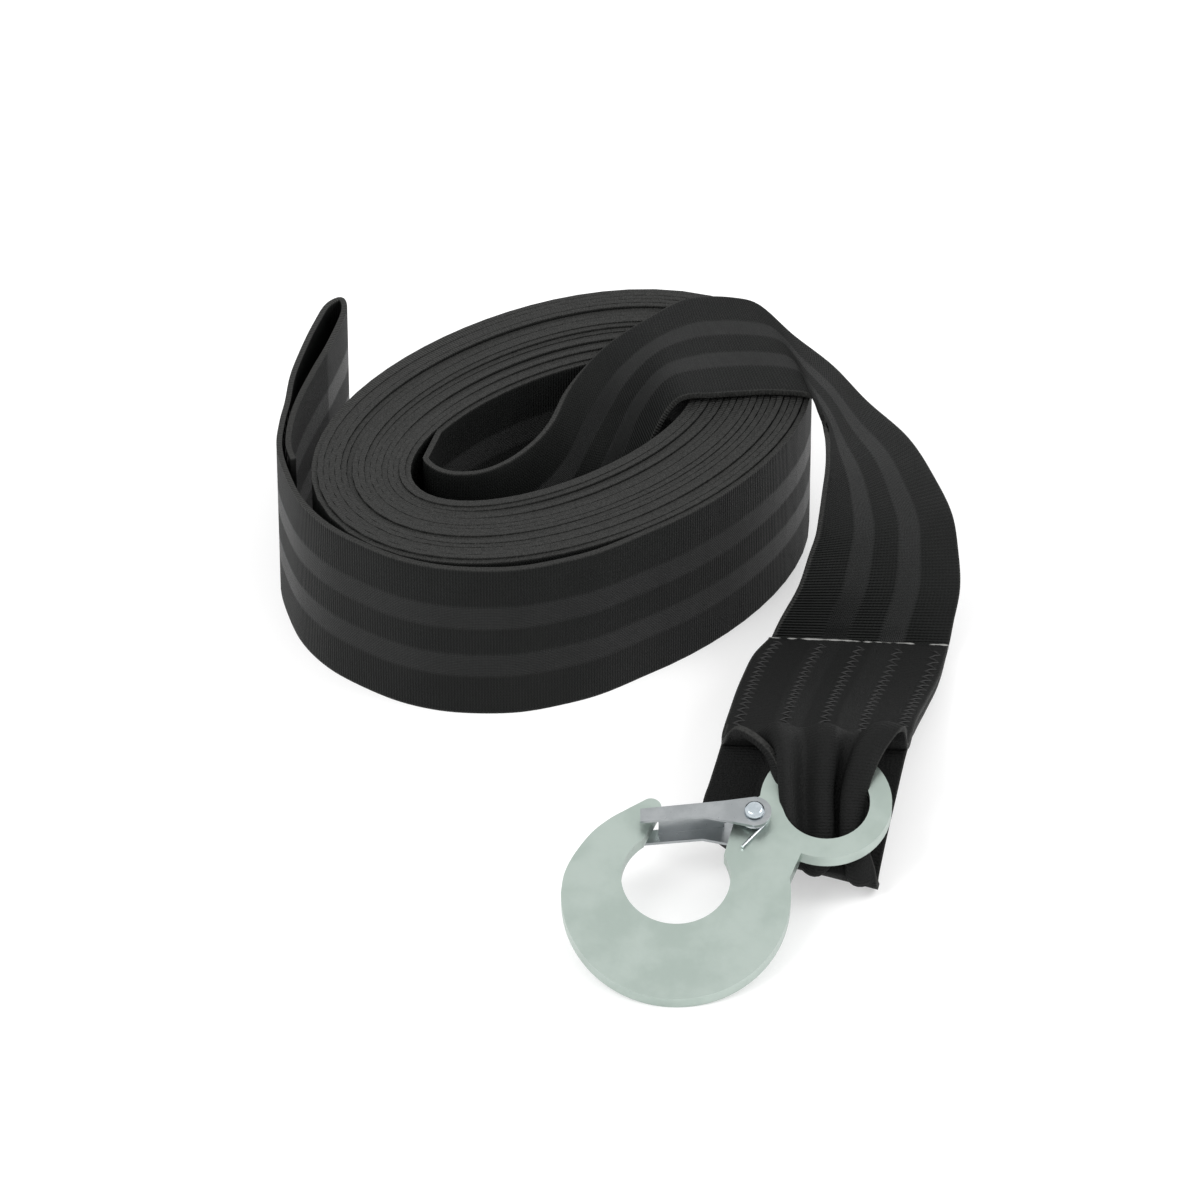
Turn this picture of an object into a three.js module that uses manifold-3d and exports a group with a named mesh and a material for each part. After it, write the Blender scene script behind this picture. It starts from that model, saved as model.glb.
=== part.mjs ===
// Winch strap for a boat trailer: one long flat webbing, wound on edge into an oval coil,
// with a small loop for the winch drum at one end and a sewn loop with a flat snap hook at the other.
// Millimetres, +Z up, standing on z = 0, the origin under the middle of the whole part.
import * as THREE from 'three';
import { mergeVertices } from 'three/addons/utils/BufferGeometryUtils.js';
import Module from 'manifold-3d';

const wasm = await Module();
wasm.setup();

// Webbing
const WEBBING_WIDTH = 50;
const WEBBING_THICKNESS = 1.7;
const LAYER_GAP = 0.3;

// Coil: an oval bore, and turns that lie face to face around it, looser on the far side
const BORE_LONG = 94;
const BORE_SHORT = 45;
const BORE_YAW = THREE.MathUtils.degToRad(39);
const BORE_CENTRE = new THREE.Vector2(1, 1.2);
const RIM_LONG = 100.4;
const RIM_SHORT = 51.8;
const RIM_OUTSIDE = 28.8;
const RIM_YAW = THREE.MathUtils.degToRad(41);
const RIM_CENTRE = new THREE.Vector2(3.15, 3);
const TURNS = 17;
const COIL_SIDES = 44;
const TURN_GROOVE_DEPTH = 0.8;
const TURN_GROOVE_SHARE = 0.14;

// Hook plate: a flat stamped hook, drawn about the centre of its round body
const PLATE_THICKNESS = 4.5;
const BODY_HALF = new THREE.Vector2(31.1, 33.2);
const BODY_CENTRE = new THREE.Vector2(0, -3);
const BOWL_RADIUS = 14.8;
const BOWL_CENTRE = new THREE.Vector2(0, 2);
const EYE_CENTRE = new THREE.Vector2(41, 26);
const EYE_HOLE_RADIUS = 12;
const EYE_RIM_RADIUS = 18;
const EYE_JOIN = new THREE.Vector2(33.4, 8.2);
const BODY_JOIN_ANGLE = THREE.MathUtils.degToRad(8);
const NECK_BOSS_RADIUS = 5.4;
const TIP_REACH = new THREE.Vector2(-3.8, 24.4);
const TIP_CENTRE = new THREE.Vector2(-6.7, 24);
const TIP_RADIUS = 2.9;
const TIP_START = THREE.MathUtils.degToRad(8);
const TIP_END = THREE.MathUtils.degToRad(130);
const SHOULDER = [[-10.8, 24.9], [-13.6, 23.2], [-17.8, 20.5], [-22.8, 16], [-27.6, 9], [-30.2, 3], [-31.1, -3]];
const MOUTH_ANGLE_TIP = THREE.MathUtils.degToRad(126);
const MOUTH_ANGLE_NECK = THREE.MathUtils.degToRad(28);

// How the hook lies: its near edge on the floor, its eye propped up by the loop of webbing
const HOOK_POSITION = new THREE.Vector2(34.5, -164.5);
const HOOK_SLOPE = THREE.MathUtils.degToRad(20.4);
const FLOOR_GAP = 0.05;

// Latch, rivet and spring
const RIVET_CENTRE = new THREE.Vector2(21.4, 20.2);
const RIVET_RADIUS = 2;
const RIVET_HEAD_RADIUS = 2.8;
const RIVET_HEAD_HEIGHT = 1.4;
const RIVET_CLEARANCE = 0.3;
const LATCH_DEPTH = 13;
const LATCH_SHEET = 1.2;
const LATCH_EAR_RADIUS = 4.6;
const LATCH_NOSE_LENGTH = 31;
const LATCH_NOSE_HEIGHT = 4;
const LATCH_BACK_LENGTH = 26;
const LATCH_KNEE = new THREE.Vector2(-8, 3.4);
const LATCH_NOSE_TOP = 0.8;
const LATCH_BELLY = new THREE.Vector2(-14, -1.6);
const LATCH_BACK_FALL = 0.4;
const SPRING_WIRE = 0.9;
const SPRING_RADIUS = 3.6;
const SPRING_LEG = 17;

// The webbing from the coil's bore to the hook: its top edge and its foot edge, chosen by hand
const LEAD_ROUTE = [
  [[-35.5, -13.5, 50], [-35.5, -13.5, 0.3]],
  [[-30, -20, 50], [-31, -20, 0.3]],
  [[-21, -20.5, 50], [-20, -25, 0.8]],
  [[-13, -16.5, 50.5], [-7, -25, 2]],
  [[-5, -7.5, 51], [4, -19, 5.5]],
  [[0, 2, 51.5], [13, -12.6, 12]],
  [[4.5, 17, 52], [20, -6, 21.5]],
  [[10.5, 30, 52.4], [25.5, 0.5, 33]],
  [[17, 40, 52.4], [29.5, 6, 43.5]],
  [[28, 52, 52.4], [36.5, 11.5, 52.4]],
  [[38.5, 61.5, 52.4], [47, 13, 53]],
  [[45, 63, 52.4], [55, 14.5, 52.6]],
  [[52.5, 62.5, 52.4], [65, 15, 52.6]],
  [[59, 60, 52.4], [75, 12, 53]],
  [[70, 43.5, 52], [78, -4, 54.5]],
  [[81, 31, 50], [78.5, -15, 55]],
  [[90.5, 16, 48], [78, -26, 54]],
  [[102, 8, 41], [77, -33, 51.5]],
  [[109.5, -4, 35], [76, -39, 48]],
  [[114, -14, 30], [75, -43, 44]],
  [[115.5, -22, 24], [73, -46, 39]],
  [[116, -31, 17], [70, -50, 31]],
  [[114, -39, 10], [65, -53, 22]],
];

// The sewn stretch, where the webbing lies double, and the half of the loop that lies under the hook
const SEWN_ROUTE = [
  [[112.5, -46, 6], [61.5, -55, 15.5]],
  [[109.5, -63, 8.5], [57, -64, 16.5]],
  [[105.5, -80, 13], [53.5, -78, 19]],
  [[101.5, -99, 20], [50.5, -95, 23]],
  [[98.5, -118, 27], [47.5, -116, 27]],
];
const LOOP_ROUTE = [
  [[95, -129, 17], [44, -125, 20]],
  [[92, -138, 8], [42, -131, 16.5]],
  [[90, -145, 1.2], [43, -136, 12]],
  [[90, -150.5, 4], [50, -141, 9]],
  [[88.5, -150.5, 10], [60, -147, 11.5]],
  [[84.5, -146.5, 16.8], [67.5, -145.5, 16.8]],
  [[84, -137.8, 26], [67.5, -137.5, 26]],
  [[86, -130, 34], [65.5, -130, 34]],
  [[91, -122.5, 36], [57, -121.5, 36]],
];

// The webbing from the coil's outside to the drum loop and back to its sewn end, seen from above
const TAIL_ROUTE = [
  [24, -51], [13.5, -58.2], [2.5, -63], [-8.5, -66.2], [-20, -66.8], [-31, -65.5], [-42, -61.5], [-53, -54.3],
  [-62.5, -45.8], [-70, -34.5], [-74.5, -21.5], [-77.2, -8],
  [-76.8, 4], [-75.6, 14], [-74.5, 27], [-72, 40], [-68.5, 54], [-65, 64], [-61.8, 66.6], [-60.5, 62.5],
  [-64, 45], [-68.5, 30], [-72.5, 15], [-74.3, 4], [-74.6, -7], [-73, -14],
];

const LEAD_STEPS = 152;
const TAIL_STEPS = 72;

// Names a shape, gives it a finish and makes it a mesh
function piece(name, geometry, finish) {
  const mesh = new THREE.Mesh(geometry, finish);
  mesh.name = name;
  return mesh;
}

// Turns a closed geometry into a solid that can be joined and cut
function solid(geometry) {
  const bare = geometry.clone();
  bare.deleteAttribute('normal');
  bare.deleteAttribute('uv');
  const merged = mergeVertices(bare);
  return new wasm.Manifold(new wasm.Mesh({
    numProp: 3,
    vertProperties: new Float32Array(merged.attributes.position.array),
    triVerts: new Uint32Array(merged.index.array),
  }));
}

function geometryOf(body) {
  const mesh = body.getMesh();
  const geometry = new THREE.BufferGeometry();
  geometry.setAttribute('position', new THREE.BufferAttribute(mesh.vertProperties, 3));
  geometry.setIndex(new THREE.BufferAttribute(mesh.triVerts, 1));
  geometry.computeVertexNormals();
  return geometry;
}

// A flat slab with its mid-plane on z = 0
function slab(shape, thickness, middle = 0, curveSegments = 14) {
  const geometry = new THREE.ExtrudeGeometry(shape, { depth: thickness, bevelEnabled: false, curveSegments });
  return geometry.translate(0, 0, middle - thickness / 2);
}

// A point on an oval, or a distance outside it, for a given angle round it
function ovalPoint(long, short, centre, yaw, angle, outside) {
  const a = long / 2;
  const b = short / 2;
  const outward = new THREE.Vector2(b * Math.cos(angle), a * Math.sin(angle)).normalize();
  const point = new THREE.Vector2(a * Math.cos(angle), b * Math.sin(angle)).addScaledVector(outward, outside);
  return point.rotateAround(new THREE.Vector2(), yaw).add(centre);
}

// The whole wound pack is one ring, with a groove between each turn and the next on both ends
function coilGeometry() {
  const top = [];
  const bottom = [];
  const half = TURN_GROOVE_SHARE / 2;
  for (let turn = 0; turn < TURNS; turn += 1) {
    const innerCut = turn === 0 ? 0 : half;
    const outerCut = turn === TURNS - 1 ? 0 : half;
    bottom.push([turn + innerCut, 0], [turn + 1 - outerCut, 0]);
    top.push([turn + 0.5, WEBBING_WIDTH]);
    if (turn < TURNS - 1) {
      bottom.push([turn + 1, TURN_GROOVE_DEPTH]);
      top.push([turn + 1, WEBBING_WIDTH - TURN_GROOVE_DEPTH]);
    }
  }
  const shoulder = WEBBING_WIDTH - TURN_GROOVE_DEPTH / 2;
  const profile = [...bottom, [TURNS, shoulder], ...top.reverse(), [0, shoulder], [0, 0]];
  // The ring is turned about its own axis first, then pressed between the bore and the rim
  const turned = new THREE.LatheGeometry(profile.map(([r, z]) => new THREE.Vector2(1 + r, z)), COIL_SIDES);
  turned.rotateX(Math.PI / 2);
  const position = turned.attributes.position;
  for (let i = 0; i < position.count; i += 1) {
    const angle = Math.atan2(position.getY(i), position.getX(i));
    const share = (Math.hypot(position.getX(i), position.getY(i)) - 1) / TURNS;
    const bore = ovalPoint(BORE_LONG, BORE_SHORT, BORE_CENTRE, BORE_YAW, angle, 0);
    const rim = ovalPoint(RIM_LONG, RIM_SHORT, RIM_CENTRE, RIM_YAW, angle, RIM_OUTSIDE);
    const point = bore.lerp(rim, share);
    position.setXY(i, point.x, point.y);
  }
  return turned;
}

// A strap between two edge curves that run side by side
function strapGeometry(edges, steps, across) {
  const top = new THREE.CatmullRomCurve3(edges.map(([p]) => new THREE.Vector3(...p)), false, 'centripetal');
  const foot = new THREE.CatmullRomCurve3(edges.map(([, p]) => new THREE.Vector3(...p)), false, 'centripetal');
  const geometry = new THREE.BoxGeometry(1, 1, 1, across, 1, steps);
  const position = geometry.attributes.position;
  for (let i = 0; i < position.count; i += 1) {
    const along = position.getZ(i) + 0.5;
    const a = top.getPoint(along);
    const b = foot.getPoint(along);
    const run = top.getTangent(along).add(foot.getTangent(along));
    const width = b.clone().sub(a);
    const normal = new THREE.Vector3().crossVectors(run, width).normalize();
    const point = a.lerp(b, position.getX(i) + 0.5);
    point.addScaledVector(normal, position.getY(i) * WEBBING_THICKNESS);
    position.setXYZ(i, point.x, point.y, point.z);
  }
  return geometry;
}

// Moves a pair of edge points off the strap's own surface
function raised([top, foot], [nextTop], amount) {
  const a = new THREE.Vector3(...top);
  const b = new THREE.Vector3(...foot);
  const run = new THREE.Vector3(...nextTop).sub(a);
  const normal = new THREE.Vector3().crossVectors(run, b.clone().sub(a)).normalize();
  return [a, b].map((p) => p.addScaledVector(normal, amount).toArray());
}

// Bore to hook, round the loop and back over the sewn stretch to the cut end
function hookEndEdges() {
  const layer = (WEBBING_THICKNESS + LAYER_GAP) / 2;
  const under = SEWN_ROUTE.map((pair, i) => (
    i < SEWN_ROUTE.length - 1 ? raised(pair, SEWN_ROUTE[i + 1], layer) : raised(pair, LOOP_ROUTE[0], layer)
  ));
  const over = SEWN_ROUTE.map((pair, i) => (
    i < SEWN_ROUTE.length - 1 ? raised(pair, SEWN_ROUTE[i + 1], -layer) : raised(pair, LOOP_ROUTE[0], -layer)
  ));
  return [...LEAD_ROUTE, ...under, ...LOOP_ROUTE, ...over.reverse()];
}

function drumEndEdges() {
  return TAIL_ROUTE.map(([x, y]) => [[x, y, WEBBING_WIDTH], [x, y, 0]]);
}

// The hook's outline: a round body with its bowl open towards the latch, and a neck that carries the eye
function hookShape() {
  const shape = new THREE.Shape();
  const joinAngle = Math.atan2(EYE_JOIN.y - EYE_CENTRE.y, EYE_JOIN.x - EYE_CENTRE.x);
  const bodyEnd = 2 * Math.PI + BODY_JOIN_ANGLE;
  shape.moveTo(TIP_REACH.x, TIP_REACH.y);
  shape.absarc(TIP_CENTRE.x, TIP_CENTRE.y, TIP_RADIUS, TIP_START, TIP_END, false);
  shape.splineThru(SHOULDER.map(([x, y]) => new THREE.Vector2(x, y)));
  shape.absellipse(BODY_CENTRE.x, BODY_CENTRE.y, BODY_HALF.x, BODY_HALF.y, Math.PI, bodyEnd, false, 0);
  shape.absarc(EYE_CENTRE.x, EYE_CENTRE.y, EYE_RIM_RADIUS, joinAngle, Math.PI - 0.1, false);
  shape.absarc(RIVET_CENTRE.x, RIVET_CENTRE.y, NECK_BOSS_RADIUS, Math.PI * 0.55, Math.PI * 1.02, false);
  shape.absarc(BOWL_CENTRE.x, BOWL_CENTRE.y, BOWL_RADIUS, MOUTH_ANGLE_NECK, MOUTH_ANGLE_TIP - 2 * Math.PI, true);
  shape.closePath();
  const eye = new THREE.Path();
  eye.absarc(EYE_CENTRE.x, EYE_CENTRE.y, EYE_HOLE_RADIUS, 0, 2 * Math.PI, true);
  const rivetHole = new THREE.Path();
  rivetHole.absarc(RIVET_CENTRE.x, RIVET_CENTRE.y, RIVET_RADIUS + RIVET_CLEARANCE, 0, 2 * Math.PI, true);
  shape.holes.push(eye, rivetHole);
  return shape;
}

// A riveted pin along the plate's normal, with a head at each end
function rivetGeometry() {
  const grip = LATCH_DEPTH / 2 + RIVET_CLEARANCE;
  const end = grip + RIVET_HEAD_HEIGHT;
  const crown = RIVET_HEAD_RADIUS * 0.7;
  const profile = [
    [0, -end], [crown, -end], [RIVET_HEAD_RADIUS, -grip - 0.6], [RIVET_HEAD_RADIUS, -grip],
    [RIVET_RADIUS, -grip], [RIVET_RADIUS, grip],
    [RIVET_HEAD_RADIUS, grip], [RIVET_HEAD_RADIUS, grip + 0.6], [crown, end], [0, end],
  ].map(([r, z]) => new THREE.Vector2(r, z));
  return new THREE.LatheGeometry(profile, 20).rotateX(Math.PI / 2).translate(RIVET_CENTRE.x, RIVET_CENTRE.y, 0);
}

// Side wall of the latch's channel, from the ear round the rivet to the nose over the hook's tip
function latchWallShape(nose) {
  const shape = new THREE.Shape();
  const x = RIVET_CENTRE.x;
  const y = RIVET_CENTRE.y;
  shape.moveTo(x, y - LATCH_EAR_RADIUS);
  shape.absarc(x, y, LATCH_EAR_RADIUS, -Math.PI / 2, Math.PI / 2, false);
  shape.lineTo(x + LATCH_KNEE.x, y + LATCH_KNEE.y);
  shape.lineTo(x - nose, y + LATCH_NOSE_TOP);
  shape.lineTo(x - nose, y + LATCH_NOSE_TOP - LATCH_NOSE_HEIGHT);
  shape.lineTo(x + LATCH_BELLY.x, y + LATCH_BELLY.y);
  shape.closePath();
  const hole = new THREE.Path();
  hole.absarc(x, y, RIVET_RADIUS + RIVET_CLEARANCE, 0, 2 * Math.PI, true);
  shape.holes.push(hole);
  return shape;
}

// Folded sheet latch: two walls, one each side of the plate, and the back that joins them
function latchGeometry() {
  const wallMiddle = (LATCH_DEPTH - LATCH_SHEET) / 2;
  const wall = latchWallShape(LATCH_NOSE_LENGTH);
  const back = new THREE.Shape();
  const x = RIVET_CENTRE.x;
  const y = RIVET_CENTRE.y;
  const backEnd = y + LATCH_NOSE_TOP + LATCH_BACK_FALL;
  back.moveTo(x + LATCH_KNEE.x, y + LATCH_KNEE.y);
  back.lineTo(x - LATCH_BACK_LENGTH, backEnd);
  back.lineTo(x - LATCH_BACK_LENGTH, backEnd - LATCH_SHEET);
  back.lineTo(x + LATCH_KNEE.x, y + LATCH_KNEE.y - LATCH_SHEET);
  back.closePath();
  const joined = solid(slab(wall, LATCH_SHEET, wallMiddle))
    .add(solid(slab(wall, LATCH_SHEET, -wallMiddle)))
    .add(solid(slab(back, LATCH_DEPTH)));
  return geometryOf(joined);
}

// Spring wire wound round the rivet between the plate and the front wall, with a leg down the neck
function springGeometry() {
  const level = PLATE_THICKNESS / 2 + LAYER_GAP + SPRING_WIRE / 2;
  const turns = 1.5;
  const start = -0.9;
  const points = [];
  const x = RIVET_CENTRE.x;
  const y = RIVET_CENTRE.y;
  for (let i = 0; i <= 24; i += 1) {
    const angle = start + 2 * Math.PI * turns * i / 24;
    const lift = level + i / 24 * turns * (SPRING_WIRE + 0.15);
    points.push(new THREE.Vector3(x + SPRING_RADIUS * Math.cos(angle), y + SPRING_RADIUS * Math.sin(angle), lift));
  }
  const first = points[0];
  const leg = new THREE.Vector3(-0.66, -0.75, 0).multiplyScalar(SPRING_LEG / 2);
  points.unshift(first.clone().add(leg), first.clone().addScaledVector(leg, 0.5));
  const path = new THREE.CatmullRomCurve3(points, false, 'centripetal');
  const wire = new THREE.Shape().absarc(0, 0, SPRING_WIRE / 2, 0, 2 * Math.PI, false);
  return new THREE.ExtrudeGeometry(wire, { steps: 44, extrudePath: path, curveSegments: 4, bevelEnabled: false });
}

const webbing = new THREE.MeshStandardMaterial({ color: 0x1c1d1d, roughness: 0.75, metalness: 0 });
const zinc = new THREE.MeshStandardMaterial({ color: 0xafbcb6, roughness: 0.35, metalness: 0.9 });
const latchSteel = new THREE.MeshStandardMaterial({ color: 0x9aa3a6, roughness: 0.35, metalness: 0.9 });
const springSteel = new THREE.MeshStandardMaterial({ color: 0x8c9296, roughness: 0.3, metalness: 1 });

const coil = piece('webbing_coil', coilGeometry(), webbing);
const hookEnd = piece('webbing_hook_end', strapGeometry(hookEndEdges(), LEAD_STEPS, 2), webbing);
const drumEnd = piece('webbing_drum_end', strapGeometry(drumEndEdges(), TAIL_STEPS, 1), webbing);

const hook = new THREE.Group();
hook.add(
  piece('hook_plate', slab(hookShape(), PLATE_THICKNESS, 0, 24), zinc),
  piece('latch_rivet', rivetGeometry(), latchSteel),
  piece('latch', latchGeometry(), latchSteel),
  piece('latch_spring', springGeometry(), springSteel),
);
hook.rotation.x = HOOK_SLOPE;
const hookLift = (BODY_HALF.y - BODY_CENTRE.y) * Math.sin(HOOK_SLOPE) + PLATE_THICKNESS / 2 * Math.cos(HOOK_SLOPE);
hook.position.set(HOOK_POSITION.x, HOOK_POSITION.y, hookLift + FLOOR_GAP);

const strap = new THREE.Group();
strap.add(coil, hookEnd, drumEnd, hook);
strap.updateMatrixWorld(true);
const box = new THREE.Box3().setFromObject(strap, true);
strap.position.set(-(box.min.x + box.max.x) / 2, -(box.min.y + box.max.y) / 2, -box.min.z);
strap.updateMatrixWorld(true);

export default strap;
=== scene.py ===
"""Winch strap for a boat trailer: a long flat webbing in an oval coil, with a flat snap hook sewn on."""

import math

import bmesh
import bpy
import numpy as np
from mathutils import Matrix, Vector, noise


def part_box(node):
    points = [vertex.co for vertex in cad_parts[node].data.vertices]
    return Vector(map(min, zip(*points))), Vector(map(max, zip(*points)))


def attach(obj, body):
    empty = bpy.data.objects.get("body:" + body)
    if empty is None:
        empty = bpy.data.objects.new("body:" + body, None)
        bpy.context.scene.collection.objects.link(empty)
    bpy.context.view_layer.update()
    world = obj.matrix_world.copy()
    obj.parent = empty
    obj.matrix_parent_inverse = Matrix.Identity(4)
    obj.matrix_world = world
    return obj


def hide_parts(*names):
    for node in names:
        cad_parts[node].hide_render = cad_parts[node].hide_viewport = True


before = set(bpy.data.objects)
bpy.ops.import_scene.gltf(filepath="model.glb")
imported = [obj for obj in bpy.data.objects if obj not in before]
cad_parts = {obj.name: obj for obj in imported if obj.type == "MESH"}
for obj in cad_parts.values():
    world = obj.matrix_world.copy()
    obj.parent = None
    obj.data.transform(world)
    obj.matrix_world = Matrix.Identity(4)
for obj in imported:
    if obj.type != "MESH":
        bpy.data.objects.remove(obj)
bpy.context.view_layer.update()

MM = 0.001

# Webbing, in millimetres
WEBBING_WIDTH = 50.0
WEBBING_THICKNESS = 1.6
EDGE_ROUNDING = 0.45
LAYER_STEP = 1.0  # from the middle of a sewn pair to the middle of each layer

# Coil, in millimetres: an oval bore and an oval rim, wound from outside to inside
BORE_LONG = 94.0
BORE_SHORT = 45.0
BORE_YAW = math.radians(39)
BORE_CENTRE = Vector((1.0, 1.2, 0.0))
RIM_LONG = 100.4
RIM_SHORT = 51.8
RIM_OUTSIDE = 28.8
RIM_YAW = math.radians(41)
RIM_CENTRE = Vector((3.15, 3.0, 0.0))
COIL_START = math.radians(256)
COIL_END = math.radians(124 + 18 * 360)
COIL_OUTER_SHARE = 1.034
COIL_INNER_SHARE = 0.027
COIL_ROWS = 960
TURN_UNEVENNESS = 0.8

# The strap was drawn about its own origin, which the coil's place in the frame gives back
coil_low, coil_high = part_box("webbing_coil")
STRAP_ORIGIN = (coil_low + coil_high) / 2 - RIM_CENTRE * MM
STRAP_ORIGIN.z = 0.0

# The webbing from the drum loop's sewn end to the coil's outside, seen from above
TAIL_ROUTE = [
    (-73, -14), (-74.6, -7), (-74.3, 4), (-72.5, 15), (-68.5, 30), (-64, 45), (-60.5, 62.5), (-61.8, 66.6),
    (-65, 64), (-68.5, 54), (-72, 40), (-74.5, 27), (-75.6, 14), (-76.8, 4), (-77.2, -8), (-74.5, -21.5),
    (-70, -34.5), (-62.5, -45.8), (-53, -54.3), (-42, -61.5), (-31, -65.5), (-20, -66.8), (-8.5, -66.2),
    (2.5, -63), (13.5, -58.2),
]

# The webbing from the coil's bore to the hook: its top edge and its foot edge
LEAD_ROUTE = [
    ((-35.5, -13.5, 50), (-35.5, -13.5, 0.3)),
    ((-30, -20, 50), (-31, -20, 0.3)),
    ((-21, -20.5, 50), (-20, -25, 0.8)),
    ((-13, -16.5, 50.5), (-7, -25, 2)),
    ((-5, -7.5, 51), (4, -19, 5.5)),
    ((0, 2, 51.5), (13, -12.6, 12)),
    ((4.5, 17, 52), (20, -6, 21.5)),
    ((10.5, 30, 52.4), (25.5, 0.5, 33)),
    ((17, 40, 52.4), (29.5, 6, 43.5)),
    ((28, 52, 52.4), (36.5, 11.5, 52.4)),
    ((38.5, 61.5, 52.4), (47, 13, 53)),
    ((45, 63, 52.4), (55, 14.5, 52.6)),
    ((52.5, 62.5, 52.4), (65, 15, 52.6)),
    ((59, 60, 52.4), (75, 12, 53)),
    ((70, 43.5, 52), (78, -4, 54.5)),
    ((81, 31, 50), (78.5, -15, 55)),
    ((90.5, 16, 48), (78, -26, 54)),
    ((102, 8, 41), (77, -33, 51.5)),
    ((109.5, -4, 35), (76, -39, 48)),
    ((114, -14, 30), (75, -43, 44)),
    ((115.5, -22, 24), (73, -46, 39)),
    ((116, -31, 17), (70, -50, 31)),
    ((114, -39, 10), (65, -53, 22)),
]

# The sewn stretch, where the webbing lies double, and the loop through the hook's eye
SEWN_ROUTE = [
    ((112.5, -46, 6), (61.5, -55, 15.5)),
    ((109.5, -63, 8.5), (57, -64, 16.5)),
    ((105.5, -80, 13), (53.5, -78, 19)),
    ((101.5, -99, 20), (50.5, -95, 23)),
    ((98.5, -118, 27), (47.5, -116, 27)),
]
LOOP_ROUTE = [
    ((95, -129, 17), (44, -125, 20)),
    ((92, -138, 8), (42, -131, 16.5)),
    ((90, -145, 1.2), (43, -136, 12)),
    ((90, -150.5, 4), (50, -141, 9)),
    ((88.5, -150.5, 10), (60, -147, 11.5)),
    ((86, -146.5, 16.8), (65.5, -145.5, 16.8)),
    ((86.4, -137.8, 26.5), (64.8, -137.5, 26.5)),
    ((91, -130, 34.5), (61, -130, 34.5)),
    ((97, -122.5, 36), (51.5, -121.5, 36)),
]

# Rows of mesh along each stretch between two route points, and columns across the webbing
TAIL_STEPS = 5
LEAD_STEPS = 7
SEWN_STEPS = 8
LOOP_STEPS = 12
COLUMNS = 16
FINE_COLUMNS = 48

# Gathered folds in the hook's loop
PLEATS = 3.2
PLEATS_FROM = 3.5  # route points past the loop's start
GATHERED_BELOW = 0.985  # share of the full width
PLEAT_SAMPLES = 4  # per fine column
PLEAT_HALVINGS = 24

# Sewing, in millimetres
STITCH_PITCH = 3.4
STITCH_SWING = 1.5
STITCH_ROWS = (0.06, 0.27, 0.48, 0.69, 0.93)
THREAD_RADIUS = 0.24
HOOK_STITCH_END_GAPS = (3, 4)  # to the cut end, and to the loop
DRUM_STITCH_START = 2
DRUM_STITCH_LENGTH = 24
DRUM_OUTER_LENGTH = 25
DRUM_OUTER_POINT = 12  # of TAIL_ROUTE
DRUM_FACE = 1
DRUM_SEWN_LENGTH = 55.0
BEAD_SPOTS = 60
BEAD_RADIUS = 0.85
BEAD_UNEVENNESS = 0.22
BEAD_SIDES = 8

# Camera, in millimetres about the strap's origin
CAMERA_PLACE = Vector((13.97, -1797.3, 1319.7))
CAMERA_TILT = math.radians(53.5)
PHOTO_HALF_WIDTH = 600
MM_PER_PIXEL = 0.285
CAMERA_DISTANCE = 2200
CAMERA_ANGLE = 2 * math.atan(PHOTO_HALF_WIDTH * MM_PER_PIXEL / CAMERA_DISTANCE)


def in_frame(point):
    """A point of the strap in millimetres, as a point of the frame in metres."""
    return Vector(point) * MM + STRAP_ORIGIN


# Camera and studio


def add_camera():
    data = bpy.data.cameras.new("camera")
    data.sensor_fit = "HORIZONTAL"
    data.angle = CAMERA_ANGLE
    camera = bpy.data.objects.new("camera", data)
    camera.location = in_frame(CAMERA_PLACE)
    camera.rotation_euler = (CAMERA_TILT, 0, 0)
    bpy.context.scene.collection.objects.link(camera)
    bpy.context.scene.camera = camera


def add_light(name, place, size, power):
    data = bpy.data.lights.new(name, "AREA")
    data.shape = "DISK"
    data.size = size
    data.energy = power
    light = bpy.data.objects.new(name, data)
    light.location = place
    light.rotation_euler = (-Vector(place)).to_track_quat("-Z", "Y").to_euler()
    bpy.context.scene.collection.objects.link(light)


def mesh_object(name, bm, finish):
    """Closes a bmesh into a smooth-shaded piece."""
    mesh = bpy.data.meshes.new(name)
    for face in bm.faces:
        face.smooth = True
    bm.to_mesh(mesh)
    bm.free()
    mesh.materials.append(finish)
    piece = bpy.data.objects.new(name, mesh)
    bpy.context.scene.collection.objects.link(piece)
    return piece


# Finishes


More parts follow.
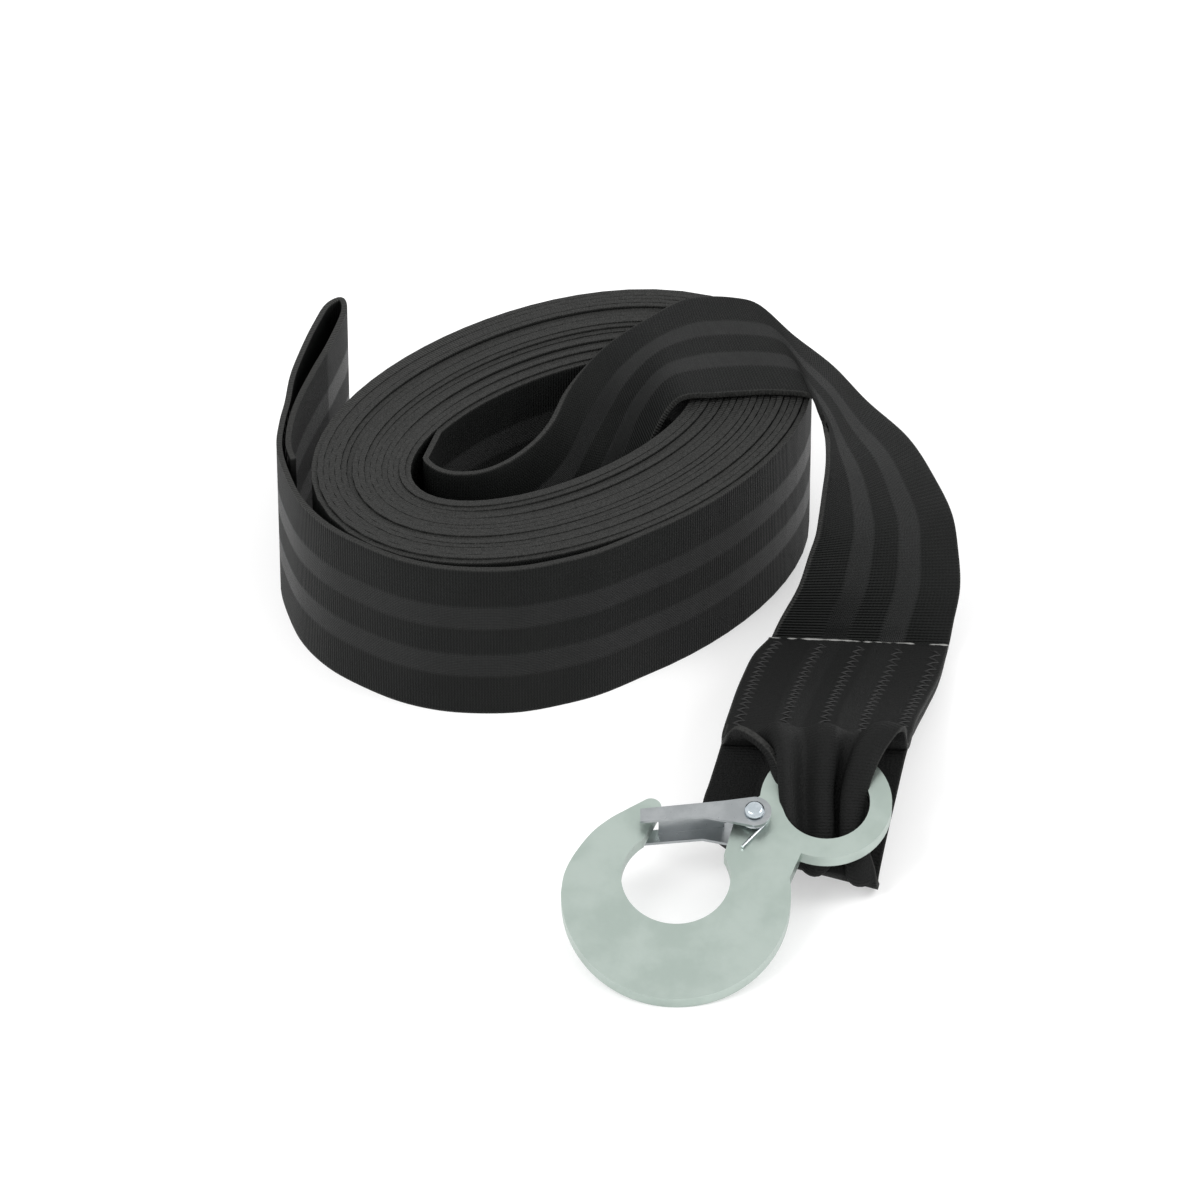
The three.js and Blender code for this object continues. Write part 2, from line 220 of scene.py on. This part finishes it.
class Finish:
    """A principled material, and short ways to add nodes to it."""

    def __init__(self, name, **settings):
        self.material = bpy.data.materials.new(name)
        self.material.use_nodes = True
        self.tree = self.material.node_tree
        self.shader = self.tree.nodes["Principled BSDF"]
        for socket, value in settings.items():
            self.shader.inputs[socket.replace("_", " ")].default_value = value

    def add(self, kind, *values, **settings):
        """A node with its first inputs set or linked, in order; None leaves one alone."""
        node = self.tree.nodes.new(kind)
        for key, value in settings.items():
            setattr(node, key, value)
        for socket, value in zip(node.inputs, values):
            self.feed(value, socket)
        return node

    def feed(self, value, socket):
        if isinstance(value, bpy.types.NodeSocket):
            self.tree.links.new(value, socket)
        elif value is not None:
            socket.default_value = value

    def math(self, operation, *values):
        """The result of one sum on the given values or sockets."""
        return self.add("ShaderNodeMath", *values, operation=operation).outputs[0]

    def sine(self, distance, pitch):
        return self.math("SINE", self.math("MULTIPLY", distance, 2 * math.pi / pitch))

    def step(self, value, start, end, low=0.0, high=1.0):
        """Rises smoothly from low to high as value goes from start to end."""
        node = self.add("ShaderNodeMapRange", interpolation_type="SMOOTHSTEP")
        for socket, given in zip(node.inputs, (value, start, end, low, high)):
            self.feed(given, socket)
        return node.outputs[0]

    def noise(self, place, scale, detail=2.0, roughness=0.5):
        node = self.add("ShaderNodeTexNoise")
        self.feed(place, node.inputs["Vector"])
        node.inputs["Scale"].default_value = scale
        node.inputs["Detail"].default_value = detail
        node.inputs["Roughness"].default_value = roughness
        return node.outputs[0]

    def mix(self, share, first, second):
        node = self.add("ShaderNodeMix", data_type="RGBA")
        self.feed(share, node.inputs["Factor"])
        for socket, colour in zip((node.inputs[6], node.inputs[7]), (first, second)):
            self.feed((*colour, 1) if isinstance(colour, tuple) else colour, socket)
        return node.outputs[2]

    def bump(self, height, strength, distance):
        node = self.add("ShaderNodeBump")
        node.inputs["Strength"].default_value = strength
        node.inputs["Distance"].default_value = distance
        self.feed(height, node.inputs["Height"])
        self.feed(node.outputs[0], self.shader.inputs["Normal"])


# The weave in metres: ribs across, warp along, and a satin stripe on each side of the middle
RIB_PITCH = 0.00085
WARP_PITCH = 0.0011
SATIN_INNER = 0.0045
SATIN_OUTER = 0.0120
SATIN_SOFTNESS = 0.0009
SELVEDGE_FROM = 0.0243
SELVEDGE_TO = 0.0249
SEWN_SOFTNESS = 0.001

# The webbing's colours, with a painted shade for the rib valleys and a painted highlight for the edges
RIB_BLACK = (0.0045, 0.0050, 0.0047)
RIB_WORN = (0.0095, 0.0103, 0.0097)
STRIPE_BLACK = (0.0060, 0.0065, 0.0063)
STRIPE_WORN = (0.0115, 0.0122, 0.0118)
# Painted shade: the colour that darkens the valleys between the ribs
VALLEY_PAINTED_SHADE = (0.0022, 0.0024, 0.0023)
SEWN_BLACK = (0.0085, 0.0088, 0.0086)
# Painted highlight: the grey of a fine sparkle on the webbing's edges and edge faces
SELVEDGE_PAINTED_SPARKLE = (0.050, 0.050, 0.048)


def webbing_finish(sewn_from, sewn_to, drum_sewn_to):
    """Black woven webbing: ribs across it, two smooth satin stripes along it, matt where it is sewn;
    painted shade darkens the rib valleys and a painted sparkle lightens the edges.
    """
    finish = Finish("black_webbing")
    uv = finish.add("ShaderNodeUVMap", uv_map="webbing").outputs[0]
    place = finish.add("ShaderNodeSeparateXYZ", uv)
    along, across = place.outputs[0], place.outputs[1]
    body = finish.add("ShaderNodeTexCoord").outputs["Object"]

    off_middle = finish.math("ABSOLUTE", finish.math("SUBTRACT", across, WEBBING_WIDTH * MM / 2))
    satin = finish.math(
        "MULTIPLY",
        finish.step(off_middle, SATIN_INNER - SATIN_SOFTNESS, SATIN_INNER + SATIN_SOFTNESS),
        finish.step(off_middle, SATIN_OUTER - SATIN_SOFTNESS, SATIN_OUTER + SATIN_SOFTNESS, 1.0, 0.0),
    )
    sewn = finish.math(
        "MAXIMUM",
        finish.math(
            "MULTIPLY",
            finish.step(along, sewn_from - SEWN_SOFTNESS, sewn_from + SEWN_SOFTNESS),
            finish.step(along, sewn_to - SEWN_SOFTNESS, sewn_to + SEWN_SOFTNESS, 1.0, 0.0),
        ),
        finish.step(along, drum_sewn_to - SEWN_SOFTNESS, drum_sewn_to + SEWN_SOFTNESS, 1.0, 0.0),
    )
    rib = finish.sine(along, RIB_PITCH)
    warp = finish.sine(across, WARP_PITCH)
    ribbed = finish.math("MULTIPLY", rib, finish.math("MULTIPLY_ADD", warp, 0.25, 0.75))
    smooth = finish.math("MULTIPLY", finish.sine(across, WARP_PITCH / 2), 0.3)
    fibre = finish.noise(body, 2600, 2)
    height = finish.math("MULTIPLY_ADD", fibre, 0.8, finish.math(
        "ADD",
        finish.math("MULTIPLY", ribbed, finish.math("SUBTRACT", 1.0, satin)),
        finish.math("MULTIPLY", smooth, satin),
    ))
    rough_height = finish.math("MULTIPLY", finish.noise(body, 1300, 3, 0.7), 3.0)
    height = finish.math(
        "ADD",
        finish.math("MULTIPLY", height, finish.math("MULTIPLY_ADD", sewn, -0.5, 1.0)),
        finish.math("MULTIPLY", rough_height, sewn),
    )
    finish.bump(height, 0.75, 0.00028)

    wear = finish.noise(body, 90, 3)
    dark = finish.mix(wear, RIB_BLACK, RIB_WORN)
    stripe = finish.mix(wear, STRIPE_BLACK, STRIPE_WORN)
    colour = finish.mix(satin, dark, stripe)
    # Painted shade: the valleys between the ribs are darkened in the colour
    valley_painted_shade = finish.step(rib, -1.0, 0.2, 0.55, 0.0)
    colour = finish.mix(valley_painted_shade, colour, VALLEY_PAINTED_SHADE)
    colour = finish.mix(sewn, colour, SEWN_BLACK)
    # Painted highlight: a noisy grey sparkle on the edges and the edge faces
    selvedge = finish.step(off_middle, SELVEDGE_FROM, SELVEDGE_TO)
    selvedge_painted_sparkle = finish.math("MULTIPLY", selvedge, finish.noise(body, 1500, 2))
    colour = finish.mix(selvedge_painted_sparkle, colour, SELVEDGE_PAINTED_SPARKLE)
    finish.feed(colour, finish.shader.inputs["Base Color"])
    rough = finish.math("MULTIPLY_ADD", satin, -0.14, 0.56)
    rough = finish.math("MULTIPLY_ADD", sewn, 0.15, rough)
    finish.feed(rough, finish.shader.inputs["Roughness"])
    sheen = finish.math("MULTIPLY_ADD", satin, 0.04, 0.13)
    finish.feed(sheen, finish.shader.inputs["Specular IOR Level"])
    return finish.material


def metal_finish(name, light, shade, roughness, grain=60.0, pits=0.00005):
    """Plated steel: a soft cloudy tone with fine pitting."""
    finish = Finish(name, Metallic=1.0)
    body = finish.add("ShaderNodeTexCoord").outputs["Object"]
    cloud = finish.noise(body, grain, 4, 0.6)
    colour = finish.mix(finish.step(cloud, 0.35, 0.65), light, shade)
    finish.feed(colour, finish.shader.inputs["Base Color"])
    fine = finish.noise(body, 900, 3, 0.6)
    uneven = finish.math("MULTIPLY_ADD", fine, 0.14, roughness - 0.07)
    finish.feed(uneven, finish.shader.inputs["Roughness"])
    finish.bump(fine, 0.5, pits)
    return finish.material


def plain_finish(name, colour, roughness, scale, bump):
    """One colour with a fine grain."""
    finish = Finish(name)
    body = finish.add("ShaderNodeTexCoord").outputs["Object"]
    grain = finish.noise(body, scale, 3)
    darker = tuple(0.7 * channel for channel in colour)
    finish.feed(finish.mix(grain, darker, colour), finish.shader.inputs["Base Color"])
    finish.shader.inputs["Roughness"].default_value = roughness
    finish.bump(grain, 0.6, bump)
    return finish.material


def floor_finish():
    """A pale floor that shows only a faint shadow."""
    finish = Finish("pale_floor", Roughness=0.9, Emission_Strength=0.42)
    finish.shader.inputs["Base Color"].default_value = (0.62, 0.62, 0.62, 1)
    finish.shader.inputs["Emission Color"].default_value = (1, 1, 1, 1)
    finish.shader.inputs["Specular IOR Level"].default_value = 0.0
    return finish.material


# The webbing's route


def between(points, i, share):
    """Point on the smooth curve through the points, a share of the way from point i to the next."""
    p1, p2 = points[i], points[i + 1]
    p0 = points[i - 1] if i > 0 else 2 * p1 - p2
    p3 = points[i + 2] if i + 2 < len(points) else 2 * p2 - p1
    d0, d1, d2 = (max((q - p).length, 1e-6) ** 0.5 for p, q in ((p0, p1), (p1, p2), (p2, p3)))
    m1 = ((p1 - p0) / d0 - (p2 - p0) / (d0 + d1) + (p2 - p1) / d1) * d1
    m2 = ((p2 - p1) / d1 - (p3 - p1) / (d1 + d2) + (p3 - p2) / d2) * d1
    curve = m1 * share + (3 * (p2 - p1) - 2 * m1 - m2) * share ** 2
    return p1 + curve + (2 * (p1 - p2) + m1 + m2) * share ** 3


def raised(pair, following, amount):
    """Moves a pair of edge points off the webbing's own surface."""
    top, foot = Vector(pair[0]), Vector(pair[1])
    normal = (Vector(following[0]) - top).cross(foot - top).normalized()
    return top + normal * amount, foot + normal * amount


def oval_point(long, short, centre, yaw, angle, outside):
    """Point on an oval, or a distance outside it, for a given angle round it."""
    a, b = long / 2, short / 2
    outward = Vector((b * math.cos(angle), a * math.sin(angle), 0)).normalized()
    point = Vector((a * math.cos(angle), b * math.sin(angle), 0)) + outward * outside
    return Matrix.Rotation(yaw, 3, "Z") @ point + centre


def coil_route():
    """The turns from the outside to the bore; some stand a little higher than others."""
    pairs = []
    for i in range(COIL_ROWS + 1):
        share = i / COIL_ROWS
        angle = COIL_START + (COIL_END - COIL_START) * share
        bore = oval_point(BORE_LONG, BORE_SHORT, BORE_CENTRE, BORE_YAW, angle, 0)
        rim = oval_point(RIM_LONG, RIM_SHORT, RIM_CENTRE, RIM_YAW, angle, RIM_OUTSIDE)
        point = bore.lerp(rim, COIL_OUTER_SHARE + (COIL_INNER_SHARE - COIL_OUTER_SHARE) * share)
        spread = min(1, 12 * share, 12 * (1 - share))
        lift = (0.5 + noise.noise(Vector((angle * 0.45, 3.7, 0)))) * TURN_UNEVENNESS * spread
        pairs.append((point + Vector((0, 0, WEBBING_WIDTH + lift)), point + Vector((0, 0, lift))))
    return pairs


def whole_route():
    """Every pair of edge points from the drum loop to the cut end at the hook, and the rows after each."""
    def upright(x, y):
        return Vector((x, y, WEBBING_WIDTH)), Vector((x, y, 0))

    def vectors(pairs):
        return [(Vector(top), Vector(foot)) for top, foot in pairs]

    following = SEWN_ROUTE[1:] + LOOP_ROUTE[:1]
    under = [raised(pair, after, LAYER_STEP) for pair, after in zip(SEWN_ROUTE, following)]
    over = [raised(pair, after, -LAYER_STEP) for pair, after in zip(SEWN_ROUTE, following)]
    parts = [
        ([upright(x, y) for x, y in TAIL_ROUTE], TAIL_STEPS),
        (coil_route(), 1),
        (vectors(LEAD_ROUTE), LEAD_STEPS),
        (under, SEWN_STEPS),
        (vectors(LOOP_ROUTE), LOOP_STEPS),
        (over[::-1], SEWN_STEPS),
    ]
    pairs, steps, starts = [], [], []
    for stretch, count in parts:
        starts.append(sum(steps))
        pairs += stretch
        steps += [count] * len(stretch)
    return pairs, steps[:-1], starts


def lay_rows():
    """The two edges of the webbing, row by row, and the row at which each stretch starts."""
    pairs, steps, starts = whole_route()
    edges = [[top for top, _ in pairs], [foot for _, foot in pairs]]
    rows = []
    for i, count in enumerate(steps):
        for k in range(count):
            rows.append([between(edge, i, k / count) for edge in edges])
    rows.append([edge[-1] for edge in edges])
    return rows, starts


def pleat_profile(width, pleats):
    """The webbing folded to a width: each fine column's place across, from 0 to 1, and its height.

    The section keeps its length along the cloth: the folds swing further until it fits the width.
    """
    spots = np.linspace(0, 1, PLEAT_SAMPLES * FINE_COLUMNS + 1)
    middles = (spots[1:] + spots[:-1]) / 2
    wave = np.sin(2 * math.pi * pleats * middles + 0.6) * (0.45 + 0.9 * middles)
    wave += 0.45 * np.sin(2 * math.pi * (0.5 * pleats + 0.3) * middles + 2.4)
    low, high = 0.0, 2.0
    for _ in range(PLEAT_HALVINGS):
        swing = (low + high) / 2
        heading = swing * wave
        x = np.concatenate(([0], np.cumsum(np.cos(heading)))) * WEBBING_WIDTH / len(middles)
        y = np.concatenate(([0], np.cumsum(np.sin(heading)))) * WEBBING_WIDTH / len(middles)
        if math.hypot(x[-1], y[-1]) > width:
            low = swing
        else:
            high = swing
    chord = math.hypot(x[-1], y[-1])
    c, s = x[-1] / chord, y[-1] / chord
    across = (c * x + s * y) / chord
    height = c * y - s * x
    return across[::PLEAT_SAMPLES], height[::PLEAT_SAMPLES] - height.mean()


class Strap:
    """The laid webbing: where any spot on it is, and which way it faces there."""

    def __init__(self):
        self.rows, self.starts = lay_rows()
        self.middles = [(top + foot) / 2 for top, foot in self.rows]
        self.lengths = [0.0]
        for a, b in zip(self.middles, self.middles[1:]):
            self.lengths.append(self.lengths[-1] + (b - a).length)
        self.under, self.loop, self.over = self.starts[3:6]
        self.profiles = {}
        for i in range(self.loop, len(self.rows)):
            top, foot = self.rows[i]
            width = (foot - top).length
            if width < GATHERED_BELOW * WEBBING_WIDTH and i > self.loop + PLEATS_FROM * LOOP_STEPS:
                self.profiles[i] = pleat_profile(width, PLEATS)

    def normal(self, row):
        """Which way the webbing faces at a row: outwards from the sewn layers and the hook's loop."""
        i = min(max(row, 0), len(self.rows) - 1)
        run = self.middles[min(i + 1, len(self.rows) - 1)] - self.middles[max(i - 1, 0)]
        top, foot = self.rows[i]
        return run.cross(foot - top).normalized()

    def spot(self, row, share, lift=0.0):
        """Point at a row and a share of the way across, in millimetres."""
        top, foot = self.rows[row]
        if row in self.profiles:
            across, height = self.profiles[row]
            column = round(share * FINE_COLUMNS)
            share, lift = across[column], lift + height[column]
        return top.lerp(foot, share) + self.normal(row) * lift

    def at(self, length, share, lift=0.0):
        """Point a length along the webbing, for what is sewn on it."""
        row = int(np.searchsorted(self.lengths, length)) - 1
        row = min(max(row, 0), len(self.rows) - 2)
        part = (length - self.lengths[row]) / (self.lengths[row + 1] - self.lengths[row])
        return self.spot(row, share, lift).lerp(self.spot(row + 1, share, lift), part)


def make_webbing(strap, finish):
    """One ribbon from end to end, with finer columns where it is sewn and gathered."""
    last = len(strap.rows) - 1
    bm = bmesh.new()
    bmesh.ops.create_grid(
        bm, x_segments=last, y_segments=COLUMNS, size=0.5,
        matrix=Matrix.Translation((0.5, 0.5, 0)),
    )
    fine = [
        edge for edge in bm.edges
        if abs(edge.verts[0].co.x - edge.verts[1].co.x) < 1e-7
        and edge.verts[0].co.x * last > strap.under - 0.5
    ]
    bmesh.ops.subdivide_edges(bm, edges=fine, cuts=FINE_COLUMNS // COLUMNS - 1, use_grid_fill=True)
    uv = bm.loops.layers.uv.new("webbing")
    for face in bm.faces:
        for loop in face.loops:
            row = round(loop.vert.co.x * last)
            loop[uv].uv = (strap.lengths[row] * MM, loop.vert.co.y * WEBBING_WIDTH * MM)
    for vert in bm.verts:
        vert.co = in_frame(strap.spot(round(vert.co.x * last), vert.co.y))
    webbing = mesh_object("webbing", bm, finish)
    thick = webbing.modifiers.new("thickness", "SOLIDIFY")
    thick.thickness = WEBBING_THICKNESS * MM
    thick.offset = 0
    soft = webbing.modifiers.new("soft_edges", "BEVEL")
    soft.width = EDGE_ROUNDING * MM
    soft.segments = 2
    soft.limit_method = "ANGLE"
    soft.angle_limit = math.radians(70)
    return webbing


def tube(bm, points, radii, sides=6):
    """A closed round tube through the points."""
    rings = []
    up = None
    for i, (point, radius) in enumerate(zip(points, radii)):
        run = (points[min(i + 1, len(points) - 1)] - points[max(i - 1, 0)]).normalized()
        up = run.orthogonal() if up is None else up - run * up.dot(run)
        up.normalize()
        side = run.cross(up)
        ring = []
        for k in range(sides):
            angle = 2 * math.pi * k / sides
            ring.append(bm.verts.new(point + (up * math.cos(angle) + side * math.sin(angle)) * radius))
        rings.append(ring)
    for a, b in zip(rings, rings[1:]):
        for k in range(sides):
            bm.faces.new((a[k], a[(k + 1) % sides], b[(k + 1) % sides], b[k]))
    bm.faces.new(rings[0][::-1])
    bm.faces.new(rings[-1])


def stitch_row(bm, strap, start, end, share, face):
    """One zigzag row of thread along the webbing, on the side that face gives as 1 or -1."""
    count = 4 * round((end - start) / STITCH_PITCH)
    points = []
    for i in range(count + 1):
        length = start + (end - start) * i / count
        side = (1, 0, -1, 0)[i % 4] * STITCH_SWING / WEBBING_WIDTH
        proud = THREAD_RADIUS if i % 2 else -0.5 * THREAD_RADIUS
        lift = face * (WEBBING_THICKNESS / 2 + proud)
        points.append(in_frame(strap.at(length, share + side, lift)))
    tube(bm, points, [THREAD_RADIUS * MM] * len(points))


def make_stitching(name, strap, stretches, finish):
    """Rows of zigzag thread on each stretch, given as (start, end, face)."""
    bm = bmesh.new()
    for start, end, face in stretches:
        for share in STITCH_ROWS:
            stitch_row(bm, strap, start, end, share, face)
    return mesh_object(name, bm, finish)


def make_cut_end(strap, finish):
    """The bead where the webbing's end was cut and sealed with heat."""
    bm = bmesh.new()
    points, radii = [], []
    for i in range(BEAD_SPOTS + 1):
        share = i / BEAD_SPOTS
        wander = noise.noise(Vector((share * 9, 0.4, 0)))
        points.append(in_frame(strap.at(strap.lengths[-1] - 0.1 + 0.3 * wander, share, 0.15 * wander)))
        radii.append((BEAD_RADIUS + BEAD_UNEVENNESS * noise.noise(Vector((share * 21, 5.1, 0)))) * MM)
    tube(bm, points, radii, BEAD_SIDES)
    return mesh_object("cut_end_bead", bm, finish)


# The hook's metal


def dressed_copy(name, finish, rounding):
    """A CAD piece with its triangles joined into faces and its edges broken."""
    bm = bmesh.new()
    bm.from_mesh(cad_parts[name].data)
    bmesh.ops.remove_doubles(bm, verts=bm.verts, dist=0.000005)
    bmesh.ops.dissolve_limit(bm, angle_limit=math.radians(0.5), verts=bm.verts, edges=bm.edges)
    piece = mesh_object(name + "_dressed", bm, finish)
    soft = piece.modifiers.new("broken_edges", "BEVEL")
    soft.width = rounding * MM
    soft.segments = 3
    soft.limit_method = "ANGLE"
    soft.angle_limit = math.radians(30)
    even = piece.modifiers.new("flat_faces", "WEIGHTED_NORMAL")
    even.weight = 100
    even.keep_sharp = False
    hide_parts(name)
    return piece


def make_floor():
    bm = bmesh.new()
    bmesh.ops.create_grid(bm, x_segments=1, y_segments=1, size=6)
    floor = mesh_object("floor", bm, floor_finish())


def add_studio():
    """White surroundings, a soft key light and a weaker fill."""
    scene = bpy.context.scene
    scene.view_settings.view_transform = "Standard"
    world = bpy.data.worlds.new("studio")
    world.use_nodes = True
    world.node_tree.nodes["Background"].inputs["Color"].default_value = (1, 1, 1, 1)
    world.node_tree.nodes["Background"].inputs["Strength"].default_value = 1.0
    scene.world = world
    add_light("key", (-0.9, -0.9, 1.5), 0.9, 14)
    add_light("fill", (1.2, -0.2, 1.2), 0.8, 8)
    make_floor()


add_camera()
add_studio()

strap = Strap()
total = strap.lengths[-1] * MM
sewn_from = strap.lengths[strap.under] * MM
webbing = make_webbing(strap, webbing_finish(sewn_from, total, DRUM_SEWN_LENGTH * MM))
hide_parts("webbing_coil", "webbing_hook_end", "webbing_drum_end")
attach(webbing, "strap")

thread = plain_finish("black_thread", (0.012, 0.012, 0.012), 0.55, 1500, 0.0001)
sealed = plain_finish("sealed_end", (0.30, 0.30, 0.29), 0.6, 700, 0.0002)
cut_gap, loop_gap = HOOK_STITCH_END_GAPS
hook_thread = make_stitching("hook_end_stitching", strap, [
    (strap.lengths[strap.under] + cut_gap, strap.lengths[strap.loop] - loop_gap, 1),
    (strap.lengths[strap.over] + loop_gap, strap.lengths[-1] - cut_gap, 1),
], thread)
inner = DRUM_STITCH_START
outer = strap.lengths[DRUM_OUTER_POINT * TAIL_STEPS]
drum_thread = make_stitching("drum_end_stitching", strap, [
    (inner, inner + DRUM_STITCH_LENGTH, DRUM_FACE),
    (outer, outer + DRUM_OUTER_LENGTH, DRUM_FACE),
], thread)
bead = make_cut_end(strap, sealed)
for piece in (hook_thread, drum_thread, bead):
    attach(piece, "strap")

zinc = metal_finish("zinc_plate", (0.46, 0.53, 0.49), (0.40, 0.47, 0.43), 0.38)
latch_metal = metal_finish("latch_steel", (0.42, 0.44, 0.45), (0.34, 0.36, 0.37), 0.30, 120)
rivet_metal = metal_finish("rivet_steel", (0.62, 0.68, 0.72), (0.50, 0.56, 0.60), 0.24, 200)
spring_metal = metal_finish("spring_steel", (0.50, 0.52, 0.54), (0.42, 0.44, 0.46), 0.22, 200)

for name, slot, finish, rounding, body in (
    ("hook_plate", "zinc_plate", zinc, 0.35, "strap"),
    ("latch", "latch_steel", latch_metal, 0.25, "latch"),
    ("latch_rivet", "rivet_steel", rivet_metal, 0.35, "strap"),
):
    piece = dressed_copy(name, finish, rounding)
    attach(piece, body)

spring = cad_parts["latch_spring"]
spring.data.materials.clear()
spring.data.materials.append(spring_metal)
